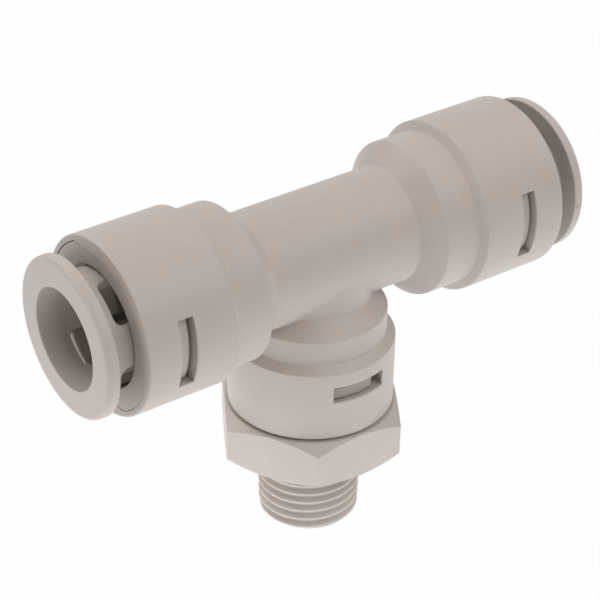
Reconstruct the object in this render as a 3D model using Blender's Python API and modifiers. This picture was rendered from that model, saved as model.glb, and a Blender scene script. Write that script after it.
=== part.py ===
"""Push-to-connect tee fitting for 12 mm tube, with a tapered male thread on its leg.

Metres, +Z up. The run lies along X, the leg points down, and the origin is the centre of the
thread's end face. Each port is drawn along its own axis, from the middle of the run outward.
"""

import math

import bmesh
import bpy
from mathutils import Matrix

MM = 0.001

# The tube, and how each piece of a port meets it
TUBE_OD = 12.0 * MM
TUBE_CLEARANCE = 0.13 * MM
SEAT_CLEARANCE = 0.15 * MM
CLAW_BITE = 0.1 * MM
LIP_SQUEEZE = 0.2 * MM

# Gaps between pieces that move on each other, and between pieces that stay put
RUNNING_GAP = 0.3 * MM
FIT_GAP = 0.2 * MM

# Port, lengths along the axis
HALF_RUN = 30.9 * MM
GUIDE_LENGTH = 7.9 * MM
GUIDE_HEAD = 1.0 * MM
GUIDE_LIP = 3.9 * MM
CLAW_THICKNESS = 0.4 * MM
CLAW_DEPTH = 1.8 * MM
SEAL_LENGTH = 4.0 * MM
TUBE_SEAT_LENGTH = 3.0 * MM
BUTTON_TRAVEL = 2.8 * MM
FLANGE_THICKNESS = 1.55 * MM
MOUTH_TAPER = 2.5 * MM
BARB_LENGTH = 1.3 * MM
NOSE_LENGTH = 0.4 * MM

# Port, wall thicknesses and steps across the axis
SLEEVE_WALL = 1.2 * MM
BARB_STEP = 0.57 * MM
FLANGE_STEP = 2.75 * MM
MOUTH_STEP = 0.29 * MM
GUIDE_WALL = 0.9 * MM
FLAT_STEP = 0.1 * MM
COLLAR_WALL = 1.9 * MM
MOUTH_WALL = 0.74 * MM
CLAW_LAND = 1.0 * MM
POCKET_WALL = 1.8 * MM

# Run, outside
COLLAR_LENGTH = 12.1 * MM
COLLAR_CONE = 0.7 * MM
POCKET_STEP_LENGTH = 4.8 * MM
POCKET_CONE = 2.5 * MM
PASSAGE_RADIUS = 4.9 * MM
RUN_WALL = 2.65 * MM
RIM_ROUND = 0.25 * MM
FLANGE_ROUND = 0.7 * MM

# Snap windows and the tongues that click into them
WINDOW_SETBACK = 4.35 * MM
WINDOW_LENGTH = 2.05 * MM
WINDOW_WIDTH = 8.9 * MM
TONGUE_RISE = 0.95 * MM
TONGUE_SLIT = 0.8 * MM
LEG_WINDOW_SETBACK = 5.25 * MM
LEG_WINDOW_HEIGHT = 2.2 * MM
LEG_WINDOW_WIDTH = 7.4 * MM

# Slots of the release ring's sleeve
SLOT_COUNT = 4
SLOT_ANGLE = math.radians(46.0)
SLOT_START = math.radians(-36.5)
SLOT_SETBACK = 2.3 * MM
SLOT_ROUND = 1.0 * MM

# Lock claw
TOOTH_COUNT = 12
TOOTH_GAP = 0.9 * MM

# Leg, outside
LEG_NECK_RADIUS = 7.38 * MM
LEG_NECK_LENGTH = 5.74 * MM
LEG_CONE = 2.06 * MM
LEG_STEP_LENGTH = 3.2 * MM
LEG_COLLAR_CONE = 0.9 * MM
LEG_COLLAR_LENGTH = 9.4 * MM
LEG_WALL = 2.05 * MM
LEG_COLLAR_WALL = 1.78 * MM
RETAINER_BORE_DEPTH = 8.8 * MM
RETAINER_LEDGE = 1.7 * MM

# Threaded stem
THREAD_LENGTH = 11.0 * MM
THREAD_END_RADIUS = 6.43 * MM
THREAD_TAPER = 1.0 / 32.0
THREAD_CHAMFER = 0.7 * MM
THREAD_PITCH = 1.337 * MM
THREAD_TURNS = 8
THREAD_START = -0.99 * MM
THREAD_DEPTH = 0.75 * MM
THREAD_CREST = 0.2 * MM
THREAD_ROOT = 0.5 * MM
THREAD_STEPS = 24
STEM_BORE_RADIUS = 4.25 * MM
STEM_WALL = 1.15 * MM
HEX_SETBACK = 0.2 * MM
HEX_HEIGHT = 6.35 * MM
HEX_CHAMFER_ANGLE = math.radians(30.0)
HEX_FACE_SHARE = 0.985
NECK_DEPTH = 1.0 * MM
RETAINER_HEIGHT = 2.9 * MM
RETAINER_SPLIT = 2.0 * MM
O_RING_SECTION = 1.8 * MM
O_RING_PINCH = 0.1 * MM
O_RING_GROOVE = 2.4 * MM
GROOVE_SETBACK = 1.2 * MM
LEAD_IN = 0.4 * MM

# Segments round a turned shape
OUTER_STEPS = 48
INNER_STEPS = 36

# Where two faces meet more sharply than this, their edge is shaded sharp
SHARP_EDGE = math.radians(25.0)

# Port radii, worked out from the tube outward
TUBE_RADIUS = TUBE_OD / 2
BUTTON_BORE = TUBE_RADIUS + TUBE_CLEARANCE
SLEEVE_RADIUS = BUTTON_BORE + SLEEVE_WALL
BARB_RADIUS = SLEEVE_RADIUS + BARB_STEP
FLANGE_RADIUS = SLEEVE_RADIUS + FLANGE_STEP
GUIDE_BORE = SLEEVE_RADIUS + RUNNING_GAP
GUIDE_CHAMBER = BARB_RADIUS + RUNNING_GAP
GUIDE_RADIUS = GUIDE_CHAMBER + GUIDE_WALL
GUIDE_FLAT = GUIDE_RADIUS + FLAT_STEP
TONGUE_RADIUS = GUIDE_RADIUS + TONGUE_RISE
MAIN_BORE = GUIDE_RADIUS + FIT_GAP
COLLAR_RADIUS = MAIN_BORE + COLLAR_WALL
RECESS_RADIUS = COLLAR_RADIUS - MOUTH_WALL
HEAD_RADIUS = RECESS_RADIUS - FIT_GAP
SEAL_POCKET = MAIN_BORE - CLAW_LAND
SEAL_RADIUS = SEAL_POCKET - FIT_GAP
LIP_RADIUS = TUBE_RADIUS - LIP_SQUEEZE
POCKET_STEP_RADIUS = SEAL_POCKET + POCKET_WALL
TUBE_SEAT_RADIUS = TUBE_RADIUS + SEAT_CLEARANCE
RUN_RADIUS = PASSAGE_RADIUS + RUN_WALL
CLAW_RADIUS = MAIN_BORE - FIT_GAP
CLAW_TIP = TUBE_RADIUS - CLAW_BITE

# Port places along the axis, worked out from the collar's end inward
GUIDE_INNER = HALF_RUN - GUIDE_LENGTH
GUIDE_LIP_START = HALF_RUN - GUIDE_LIP
HEAD_START = HALF_RUN - GUIDE_HEAD
CLAW_OUTER = GUIDE_INNER - FIT_GAP
CLAW_INNER = CLAW_OUTER - CLAW_THICKNESS
CLAW_SHOULDER = CLAW_INNER - FIT_GAP
CLAW_TIP_INNER = CLAW_INNER - CLAW_DEPTH
SEAL_OUTER = CLAW_TIP_INNER - FIT_GAP
SEAL_INNER = SEAL_OUTER - SEAL_LENGTH
SEAL_FLOOR = SEAL_INNER - FIT_GAP
TUBE_STOP = SEAL_FLOOR - TUBE_SEAT_LENGTH
FLANGE_BACK = HALF_RUN + BUTTON_TRAVEL + RUNNING_GAP
FLANGE_FACE = FLANGE_BACK + FLANGE_THICKNESS
BARB_TOP = GUIDE_LIP_START - RUNNING_GAP
BARB_FOOT = BARB_TOP - BARB_LENGTH
NOSE_END = BARB_FOOT - NOSE_LENGTH
COLLAR_START = HALF_RUN - COLLAR_LENGTH
POCKET_STEP_END = COLLAR_START - COLLAR_CONE
POCKET_STEP_START = POCKET_STEP_END - POCKET_STEP_LENGTH
TUBE_END = POCKET_STEP_START - POCKET_CONE
WINDOW_MIDDLE = HALF_RUN - WINDOW_SETBACK - WINDOW_LENGTH / 2

# Leg radii and heights, worked out from the stem's bore and from the thread's end upward
GROOVE_FLOOR = STEM_BORE_RADIUS + STEM_WALL
STEM_SEAL_BORE = GROOVE_FLOOR + O_RING_SECTION + 2 * O_RING_PINCH
JOURNAL_RADIUS = STEM_SEAL_BORE - RUNNING_GAP
NECK_RADIUS = JOURNAL_RADIUS - NECK_DEPTH
RETAINER_BORE = JOURNAL_RADIUS + RETAINER_LEDGE
SHOULDER_RADIUS = RETAINER_BORE - RUNNING_GAP
RETAINER_RADIUS = RETAINER_BORE - FIT_GAP
LEG_TONGUE_RADIUS = RETAINER_BORE + TONGUE_RISE
LEG_STEP_RADIUS = STEM_SEAL_BORE + LEG_WALL
LEG_COLLAR_RADIUS = RETAINER_BORE + LEG_COLLAR_WALL
HEX_TOP = THREAD_LENGTH + HEX_HEIGHT
HEX_FLAT = COLLAR_RADIUS - HEX_SETBACK
LEG_END = HEX_TOP + RUNNING_GAP
LEG_COLLAR_TOP = LEG_END + LEG_COLLAR_LENGTH
LEG_STEP_BOTTOM = LEG_COLLAR_TOP + LEG_COLLAR_CONE
LEG_STEP_TOP = LEG_STEP_BOTTOM + LEG_STEP_LENGTH
NECK_FOOT = LEG_STEP_TOP + LEG_CONE
RUN_HEIGHT = NECK_FOOT + LEG_NECK_LENGTH
STEM_TOP = LEG_STEP_TOP
SEAL_BORE_TOP = STEM_TOP + RUNNING_GAP
RETAINER_LEDGE_HEIGHT = LEG_END + RETAINER_BORE_DEPTH
LEG_WINDOW_MIDDLE = LEG_END + LEG_WINDOW_SETBACK + LEG_WINDOW_HEIGHT / 2
GROOVE_TOP = STEM_TOP - GROOVE_SETBACK
GROOVE_BOTTOM = GROOVE_TOP - O_RING_GROOVE

# A window's middle along its axis, its length along the axis and its width across it
PORT_WINDOW = (WINDOW_MIDDLE, WINDOW_LENGTH, WINDOW_WIDTH)
LEG_WINDOW = (LEG_WINDOW_MIDDLE, LEG_WINDOW_HEIGHT, LEG_WINDOW_WIDTH)

# Cutters reach this far past the faces that they open
PAST = 1.0 * MM


def clear_scene():
    for obj in list(bpy.data.objects):
        bpy.data.objects.remove(obj)


def new_collection(name):
    collection = bpy.data.collections.new(name)
    bpy.context.scene.collection.children.link(collection)
    return collection


def new_material(name, colour, roughness, metallic=0.0):
    material = bpy.data.materials.new(name)
    material.use_nodes = True
    shader = material.node_tree.nodes["Principled BSDF"]
    shader.inputs["Base Color"].default_value = (*colour, 1.0)
    shader.inputs["Roughness"].default_value = roughness
    shader.inputs["Metallic"].default_value = metallic
    return material


clear_scene()
PARTS = new_collection("push_in_tee")
CUTTERS = new_collection("cutters")

RESIN = new_material("grey_resin", (0.52, 0.49, 0.45), 0.45)
RING_RESIN = new_material("ring_resin", (0.56, 0.53, 0.49), 0.42)
STAINLESS = new_material("stainless_strip", (0.62, 0.60, 0.57), 0.3, 1.0)
RUBBER = new_material("black_rubber", (0.03, 0.03, 0.032), 0.6)


# Each port's own Z axis points outward along the run, and the leg keeps the world's axes
def port_frame(side):
    return Matrix.Translation((0.0, 0.0, RUN_HEIGHT)) @ Matrix.Rotation(side * math.pi / 2, 4, "Y")


LEG_FRAME = Matrix.Identity(4)


def place_mesh(name, mesh, frame, material=None):
    """An object of this mesh: a part if it has a material, and a hidden cutter if not."""
    obj = bpy.data.objects.new(name, mesh)
    obj.matrix_world = frame
    if material:
        mesh.materials.append(material)
        PARTS.objects.link(obj)
    else:
        CUTTERS.objects.link(obj)
        obj.hide_render = True
        obj.display_type = "WIRE"
    return obj


def turned(name, profile, frame, material=None, steps=OUTER_STEPS, closed=True):
    """Turns a profile of (radius, height) about Z: down the outer side, and back up the bore if closed."""
    mesh = bpy.data.meshes.new(name)
    edges = [(i, i + 1) for i in range(len(profile) - 1)]
    if closed:
        edges.append((len(profile) - 1, 0))
    mesh.from_pydata([(radius, 0.0, height) for radius, height in profile], edges, [])
    obj = place_mesh(name, mesh, frame, material)
    screw = obj.modifiers.new("turn", "SCREW")
    screw.axis = "Z"
    screw.steps = steps
    screw.render_steps = steps
    screw.use_merge_vertices = True
    screw.merge_threshold = 0.00001
    screw.use_smooth_shade = True
    return obj


def box(name, low, high, frame):
    """A cutter between two corners."""
    form = bmesh.new()
    bmesh.ops.create_cube(form, size=1.0)
    for vert in form.verts:
        for axis in range(3):
            middle = (low[axis] + high[axis]) / 2
            vert.co[axis] = middle + vert.co[axis] * (high[axis] - low[axis])
    mesh = bpy.data.meshes.new(name)
    form.to_mesh(mesh)
    form.free()
    return place_mesh(name, mesh, frame)


def slab(name, across, bottom, top, frame):
    """A cutter as wide as a port along Y, between two places along X."""
    reach = COLLAR_RADIUS + PAST
    return box(name, (min(across), -reach, bottom), (max(across), reach, top), frame)


def combine(obj, other, operation="DIFFERENCE"):
    boolean = obj.modifiers.new(other.name, "BOOLEAN")
    boolean.operation = operation
    boolean.solver = "EXACT"
    boolean.object = other


def rounded_corner(radius, height, round_radius, points=3):
    """Points down a quarter round between a top face and an outer side whose sharp corner would be here."""
    corner = []
    for i in range(points + 1):
        angle = math.pi / 2 * (1 - i / points)
        corner.append((
            radius - round_radius + round_radius * math.cos(angle),
            height - round_radius + round_radius * math.sin(angle),
        ))
    return corner


def mirrored_profile(half):
    """An outer profile that meets the axis at both ends, from its half above the middle."""
    return half + [(radius, -height) for radius, height in reversed(half)]


# The body's outside is a turned run joined by a turned leg
def body_outside():
    half_run = [(0.0, HALF_RUN)]
    half_run += rounded_corner(COLLAR_RADIUS, HALF_RUN, RIM_ROUND)
    half_run += [
        (COLLAR_RADIUS, COLLAR_START),
        (POCKET_STEP_RADIUS, POCKET_STEP_END),
        (POCKET_STEP_RADIUS, POCKET_STEP_START),
        (RUN_RADIUS, TUBE_END),
    ]
    body = turned("tee_body", mirrored_profile(half_run), port_frame(1), RESIN, closed=False)
    leg = [
        (0.0, RUN_HEIGHT),
        (LEG_NECK_RADIUS, RUN_HEIGHT),
        (LEG_NECK_RADIUS, NECK_FOOT),
        (LEG_STEP_RADIUS, LEG_STEP_TOP),
        (LEG_STEP_RADIUS, LEG_STEP_BOTTOM),
        (LEG_COLLAR_RADIUS, LEG_COLLAR_TOP),
    ]
    rim = rounded_corner(LEG_COLLAR_RADIUS, -LEG_END, RIM_ROUND)
    leg += [(radius, -height) for radius, height in reversed(rim)]
    leg.append((0.0, LEG_END))
    combine(body, turned("leg_outside", leg, LEG_FRAME, closed=False), "UNION")
    return body


# The run's bore steps down from the mouth to the tube stop, the same at both ends
def run_bore():
    half = [
        (0.0, HALF_RUN + PAST),
        (MAIN_BORE, HALF_RUN + PAST),
        (MAIN_BORE, CLAW_SHOULDER),
        (SEAL_POCKET, CLAW_SHOULDER),
        (SEAL_POCKET, SEAL_FLOOR),
        (TUBE_SEAT_RADIUS, SEAL_FLOOR),
        (TUBE_SEAT_RADIUS, TUBE_STOP),
        (PASSAGE_RADIUS, TUBE_STOP),
    ]
    return turned("run_bore", mirrored_profile(half), port_frame(1), steps=INNER_STEPS, closed=False)


# The leg's bore holds the stem's journal and, in its collar, the retainer
def leg_bore():
    profile = [
        (0.0, RUN_HEIGHT),
        (PASSAGE_RADIUS, RUN_HEIGHT),
        (PASSAGE_RADIUS, SEAL_BORE_TOP),
        (STEM_SEAL_BORE, SEAL_BORE_TOP),
        (STEM_SEAL_BORE, RETAINER_LEDGE_HEIGHT),
        (RETAINER_BORE, RETAINER_LEDGE_HEIGHT),
        (RETAINER_BORE, LEG_END - PAST),
        (0.0, LEG_END - PAST),
    ]
    return turned("leg_bore", profile, LEG_FRAME, steps=INNER_STEPS, closed=False)


# The mouth's recess has a flat above and below, which keys the guide ring's head
def mouth_recess(frame, label):
    floor = HEAD_START - FIT_GAP
    disc = [(0.0, HALF_RUN + PAST), (RECESS_RADIUS, HALF_RUN + PAST), (RECESS_RADIUS, floor), (0.0, floor)]
    recess = turned(label + "_recess", disc, frame, closed=False)
    flat = GUIDE_FLAT + FIT_GAP
    keyed = slab(label + "_recess_flats", (-flat, flat), floor - PAST, HALF_RUN + 2 * PAST, frame)
    combine(recess, keyed, "INTERSECT")
    return recess


# A window is one straight cut through both walls of a collar
def snap_window(label, window, collar_radius, frame):
    middle, length, width = window
    reach = collar_radius + PAST
    low = (-width / 2, -reach, middle - length / 2)
    high = (width / 2, reach, middle + length / 2)
    return box(label + "_window", low, high, frame)


def tee_body():
    body = body_outside()
    combine(body, run_bore())
    combine(body, leg_bore())
    for label, side in (("left", -1), ("right", 1)):
        frame = port_frame(side)
        combine(body, mouth_recess(frame, label))
        combine(body, snap_window(label, PORT_WINDOW, COLLAR_RADIUS, frame))
    combine(body, snap_window("leg", LEG_WINDOW, LEG_COLLAR_RADIUS, LEG_FRAME))


# Two tongues stand proud of a ring, each as long and wide as its window less a gap all round
def tongues(label, window, radius, root, frame):
    middle, window_length, window_width = window
    half_length = window_length / 2 - FIT_GAP
    ramp = TONGUE_RISE / 2
    disc = [
        (0.0, middle + half_length),
        (radius, middle + half_length),
        (radius, middle - half_length + ramp),
        (radius - ramp, middle - half_length),
        (0.0, middle - half_length),
    ]
    band = turned(label + "_tongue_band", disc, frame, steps=INNER_STEPS, closed=False)
    half_width = window_width / 2 - FIT_GAP
    low = (-half_width, -radius - PAST, middle - window_length)
    high = (half_width, radius + PAST, middle + window_length)
    combine(band, box(label + "_tongue_width", low, high, frame), "INTERSECT")
    core = [
        (0.0, middle + window_length),
        (root, middle + window_length),
        (root, middle - window_length),
        (0.0, middle - window_length),
    ]
    combine(band, turned(label + "_tongue_root", core, frame, steps=INNER_STEPS, closed=False))
    return band


# The guide ring clicks into the collar and stops the release ring's barbs
def guide_ring(label, frame):
    lead = LEAD_IN / 2
    profile = [
        (HEAD_RADIUS, HALF_RUN),
        (HEAD_RADIUS, HEAD_START),
        (GUIDE_RADIUS, HEAD_START),
        (GUIDE_RADIUS, GUIDE_INNER + lead),
        (GUIDE_RADIUS - lead, GUIDE_INNER),
        (GUIDE_CHAMBER, GUIDE_INNER),
        (GUIDE_CHAMBER, GUIDE_LIP_START),
        (GUIDE_BORE, GUIDE_LIP_START),
        (GUIDE_BORE, HALF_RUN - lead),
        (GUIDE_BORE + lead, HALF_RUN),
    ]
    ring = turned(label + "_guide_ring", profile, frame, RING_RESIN, steps=INNER_STEPS)
    middle_of_wall = (GUIDE_CHAMBER + GUIDE_RADIUS) / 2
    snap = tongues(label + "_guide", PORT_WINDOW, TONGUE_RADIUS, middle_of_wall, frame)
    combine(ring, snap, "UNION")
    slit = WINDOW_WIDTH / 2 - FIT_GAP
    slit_end = GUIDE_LIP_START - FIT_GAP
    for side in (-1, 1):
        across = (side * slit, side * (slit + TONGUE_SLIT))
        combine(ring, slab(label + "_slit", across, GUIDE_INNER - PAST, slit_end, frame))
        across = (side * GUIDE_FLAT, side * COLLAR_RADIUS)
        combine(ring, slab(label + "_flat", across, HEAD_START - PAST, HALF_RUN + PAST, frame))


# A slot of the sleeve, with end walls along the radius, open at the nose and rounded at its blind end
def sleeve_slot(label, index, frame):
    turn = Matrix.Rotation(SLOT_START + index * 2 * math.pi / SLOT_COUNT, 4, "Z")
    bottom = NOSE_END - PAST
    top = FLANGE_BACK - SLOT_SETBACK
    low = (BUTTON_BORE - PAST, -1.0, bottom)
    high = (BARB_RADIUS + PAST, 1.0, top)
    slot = box(f"{label}_slot_{index}", low, high, frame @ turn)
    form = bmesh.new()
    form.from_mesh(slot.data)
    # The box is 1 to each side, so this leans its sides along the two radii that bound the slot
    for vert in form.verts:
        vert.co.y *= vert.co.x * math.tan(SLOT_ANGLE / 2)
    middle = (bottom + top) / 2
    corners = [edge for edge in form.edges if edge_is_radial(edge) and edge.verts[0].co.z > middle]
    bmesh.ops.bevel(form, geom=corners, offset=SLOT_ROUND, segments=3, profile=0.5, affect="EDGES")
    form.to_mesh(slot.data)
    form.free()
    return slot


def edge_is_radial(edge):
    one, two = edge.verts
    return abs(one.co.x - two.co.x) > PAST


# The release ring: a flange to press, whose mouth narrows to the tube's bore, and a slotted sleeve whose barbs
# hold it in the guide ring
def release_ring(label, frame):
    profile = [(BUTTON_BORE + MOUTH_STEP, FLANGE_FACE)]
    profile += rounded_corner(FLANGE_RADIUS, FLANGE_FACE, FLANGE_ROUND)
    profile += [
        (FLANGE_RADIUS, FLANGE_BACK),
        (SLEEVE_RADIUS, FLANGE_BACK),
        (SLEEVE_RADIUS, BARB_TOP),
        (BARB_RADIUS, BARB_TOP),
        (SLEEVE_RADIUS, BARB_FOOT),
        (SLEEVE_RADIUS - RIM_ROUND, NOSE_END),
        (BUTTON_BORE, NOSE_END),
        (BUTTON_BORE, FLANGE_FACE - MOUTH_TAPER),
    ]
    ring = turned(label + "_release_ring", profile, frame, RING_RESIN)
    for index in range(SLOT_COUNT):
        combine(ring, sleeve_slot(label, index, frame))


# The lock claw: a flat rim, and teeth that lean inward towards the middle of the run
def lock_claw(label, frame):
    root = SEAL_POCKET - RUNNING_GAP
    profile = [
        (CLAW_RADIUS, CLAW_OUTER),
        (CLAW_RADIUS, CLAW_INNER),
        (root, CLAW_INNER),
        (CLAW_TIP, CLAW_TIP_INNER),
        (CLAW_TIP, CLAW_TIP_INNER + CLAW_THICKNESS),
        (root, CLAW_OUTER),
    ]
    claw = turned(label + "_lock_claw", profile, frame, STAINLESS, steps=INNER_STEPS)
    for index in range(TOOTH_COUNT):
        turn = Matrix.Rotation(2 * math.pi * index / TOOTH_COUNT, 4, "Z")
        low = (CLAW_TIP - PAST, -TOOTH_GAP / 2, CLAW_TIP_INNER - PAST)
        high = (root - TOOTH_GAP / 2, TOOTH_GAP / 2, CLAW_OUTER + PAST)
        combine(claw, box(f"{label}_tooth_gap_{index}", low, high, frame @ turn))


# The tube seal: a rubber ring with a groove in its inner end, so that pressure spreads its lips
def tube_seal(label, frame):
    waist = (SEAL_RADIUS + LIP_RADIUS) / 2
    groove = (SEAL_RADIUS - LIP_RADIUS) / 6
    depth = SEAL_LENGTH / 2
    bead = (SEAL_RADIUS - LIP_RADIUS) / 3
    profile = [
        (SEAL_RADIUS - groove, SEAL_OUTER),
        (SEAL_RADIUS, SEAL_OUTER - groove),
        (SEAL_RADIUS, SEAL_INNER + groove),
        (SEAL_RADIUS - groove, SEAL_INNER),
        (waist + groove, SEAL_INNER),
        (waist, SEAL_INNER + depth),
        (waist - groove, SEAL_INNER),
        (LIP_RADIUS + groove, SEAL_INNER),
        (LIP_RADIUS, SEAL_INNER + groove),
        (LIP_RADIUS + bead, SEAL_INNER + depth),
        (LIP_RADIUS, SEAL_OUTER - groove),
        (LIP_RADIUS + groove, SEAL_OUTER),
    ]
    turned(label + "_tube_seal", profile, frame, RUBBER, steps=INNER_STEPS)


# The hexagon has a flat towards -Y, just inside the width of the run's collars, so that the tee lies level on
# its side. Its corners are turned off above and below at the same angle.
def hexagon():
    corner = HEX_FLAT / math.cos(math.pi / 6)
    turn = Matrix.Rotation(math.pi / 6, 4, "Z")
    place = Matrix.Translation((0.0, 0.0, THREAD_LENGTH + HEX_HEIGHT / 2)) @ turn
    form = bmesh.new()
    bmesh.ops.create_cone(
        form, cap_ends=True, segments=6, radius1=corner, radius2=corner, depth=HEX_HEIGHT, matrix=place
    )
    mesh = bpy.data.meshes.new("hexagon")
    form.to_mesh(mesh)
    form.free()
    nut = place_mesh("hexagon", mesh, LEG_FRAME)
    face = HEX_FACE_SHARE * HEX_FLAT
    reach = corner + PAST
    drop = (reach - face) * math.tan(HEX_CHAMFER_ANGLE)
    lens = [
        (0.0, HEX_TOP + PAST),
        (face, HEX_TOP + PAST),
        (face, HEX_TOP),
        (reach, HEX_TOP - drop),
        (reach, THREAD_LENGTH + drop),
        (face, THREAD_LENGTH),
        (face, THREAD_LENGTH - PAST),
        (0.0, THREAD_LENGTH - PAST),
    ]
    combine(nut, turned("hexagon_turning", lens, LEG_FRAME, closed=False), "INTERSECT")
    return nut


# The stem: thread, hexagon, and a shank with a neck for the retainer and a groove for the O-ring
def threaded_stem():
    neck_half = RETAINER_HEIGHT / 2 + RUNNING_GAP
    neck_top = LEG_WINDOW_MIDDLE + neck_half
    neck_bottom = LEG_WINDOW_MIDDLE - neck_half
    outside = [
        (0.0, STEM_TOP),
        (JOURNAL_RADIUS - LEAD_IN, STEM_TOP),
        (JOURNAL_RADIUS, STEM_TOP - LEAD_IN),
        (JOURNAL_RADIUS, GROOVE_TOP),
        (GROOVE_FLOOR, GROOVE_TOP),
        (GROOVE_FLOOR, GROOVE_BOTTOM),
        (JOURNAL_RADIUS, GROOVE_BOTTOM),
        (JOURNAL_RADIUS, neck_top),
        (NECK_RADIUS, neck_top),
        (NECK_RADIUS, neck_bottom),
        (SHOULDER_RADIUS, neck_bottom),
        (SHOULDER_RADIUS, HEX_TOP - HEX_HEIGHT / 2),
        (thread_radius(HEX_TOP - HEX_HEIGHT / 2), HEX_TOP - HEX_HEIGHT / 2),
        (thread_radius(THREAD_CHAMFER), THREAD_CHAMFER),
        (thread_radius(0.0) - THREAD_CHAMFER, 0.0),
        (0.0, 0.0),
    ]
    stem = turned("threaded_stem", outside, LEG_FRAME, RESIN, closed=False)
    combine(stem, hexagon(), "UNION")
    combine(stem, thread_groove())
    countersink = STEM_BORE_RADIUS + LEAD_IN
    bore = [
        (0.0, STEM_TOP + PAST),
        (countersink, STEM_TOP + PAST),
        (countersink, STEM_TOP),
        (STEM_BORE_RADIUS, STEM_TOP - LEAD_IN),
        (STEM_BORE_RADIUS, LEAD_IN),
        (countersink, 0.0),
        (countersink, -PAST),
        (0.0, -PAST),
    ]
    combine(stem, turned("stem_bore", bore, LEG_FRAME, steps=INNER_STEPS, closed=False))


def thread_radius(height):
    """The crests of the tapered thread stand this far from the axis."""
    return THREAD_END_RADIUS + height * THREAD_TAPER


# The groove between the crests climbs to the right, from below the thread's end to just under the hexagon
def thread_groove():
    flank = (THREAD_PITCH - THREAD_CREST - THREAD_ROOT) / 2 / THREAD_DEPTH
    margin = THREAD_CREST / 4 / flank
    mouth = (THREAD_PITCH - THREAD_CREST) / 2 + margin * flank
    outer = THREAD_END_RADIUS + margin
    root = THREAD_END_RADIUS - THREAD_DEPTH
    section = [(outer, mouth), (root, THREAD_ROOT / 2), (root, -THREAD_ROOT / 2), (outer, -mouth)]
    heights = [(radius, THREAD_START + height) for radius, height in section]
    coil = turned("thread_coil", heights, LEG_FRAME, steps=THREAD_STEPS)
    coil.modifiers["turn"].screw_offset = THREAD_PITCH
    coil.modifiers["turn"].iterations = THREAD_TURNS
    graph = bpy.context.evaluated_depsgraph_get()
    mesh = bpy.data.meshes.new_from_object(coil.evaluated_get(graph), depsgraph=graph)
    bpy.data.objects.remove(coil)
    form = bmesh.new()
    form.from_mesh(mesh)
    bmesh.ops.holes_fill(form, edges=form.edges)
    bmesh.ops.recalc_face_normals(form, faces=form.faces)
    for vert in form.verts:
        spread = thread_radius(vert.co.z) / THREAD_END_RADIUS
        vert.co.x *= spread
        vert.co.y *= spread
    form.to_mesh(mesh)
    form.free()
    return place_mesh("thread_groove", mesh, LEG_FRAME)


def stem_o_ring():
    middle = (GROOVE_TOP + GROOVE_BOTTOM) / 2
    bpy.ops.mesh.primitive_torus_add(
        major_radius=GROOVE_FLOOR + O_RING_PINCH + O_RING_SECTION / 2,
        minor_radius=O_RING_SECTION / 2,
        major_segments=INNER_STEPS,
        minor_segments=8,
        location=(0.0, 0.0, middle),
    )
    ring = bpy.context.object
    ring.name = "stem_o_ring"
    ring.data.name = "stem_o_ring"
    ring.data.materials.append(RUBBER)
    ring.data.shade_smooth()
    for collection in list(ring.users_collection):
        collection.objects.unlink(ring)
    PARTS.objects.link(ring)


# The retainer: a split ring in the stem's neck, whose tongues click into the leg's windows
def stem_retainer():
    top = LEG_WINDOW_MIDDLE + RETAINER_HEIGHT / 2
    bottom = LEG_WINDOW_MIDDLE - RETAINER_HEIGHT / 2
    inner = NECK_RADIUS + RUNNING_GAP
    lead = LEAD_IN / 2
    profile = [
        (RETAINER_RADIUS - lead, top),
        (RETAINER_RADIUS, top - lead),
        (RETAINER_RADIUS, bottom + lead),
        (RETAINER_RADIUS - lead, bottom),
        (inner, bottom),
        (inner, top),
    ]
    ring = turned("stem_retainer", profile, LEG_FRAME, RING_RESIN, steps=INNER_STEPS)
    root = (inner + RETAINER_RADIUS) / 2
    snap = tongues("retainer", LEG_WINDOW, LEG_TONGUE_RADIUS, root, LEG_FRAME)
    combine(ring, snap, "UNION")
    low = (0.0, -RETAINER_SPLIT / 2, bottom - PAST)
    high = (RETAINER_RADIUS + PAST, RETAINER_SPLIT / 2, top + PAST)
    combine(ring, box("retainer_split", low, high, LEG_FRAME))


# Each piece becomes a plain mesh, shaded smooth but for its edges
def finish(obj):
    graph = bpy.context.evaluated_depsgraph_get()
    mesh = bpy.data.meshes.new_from_object(obj.evaluated_get(graph), depsgraph=graph)
    mesh.name = obj.name
    obj.modifiers.clear()
    obj.data = mesh
    mesh.shade_smooth()
    mesh.set_sharp_from_angle(angle=SHARP_EDGE)


tee_body()
for port, direction in (("left", -1), ("right", 1)):
    port_axes = port_frame(direction)
    release_ring(port, port_axes)
    guide_ring(port, port_axes)
    lock_claw(port, port_axes)
    tube_seal(port, port_axes)
threaded_stem()
stem_o_ring()
stem_retainer()
for part in PARTS.objects:
    finish(part)
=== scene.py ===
"""The finished look of a push-to-connect tee fitting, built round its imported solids.

Shapes are worked out in millimetres. A port is drawn along its own Z axis, from the middle of the run
outward, and the leg is drawn with its axis on Z and its heights above the thread's end.
"""

import math

import bmesh
import bpy
import numpy as np
from mathutils import Matrix, Vector

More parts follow.
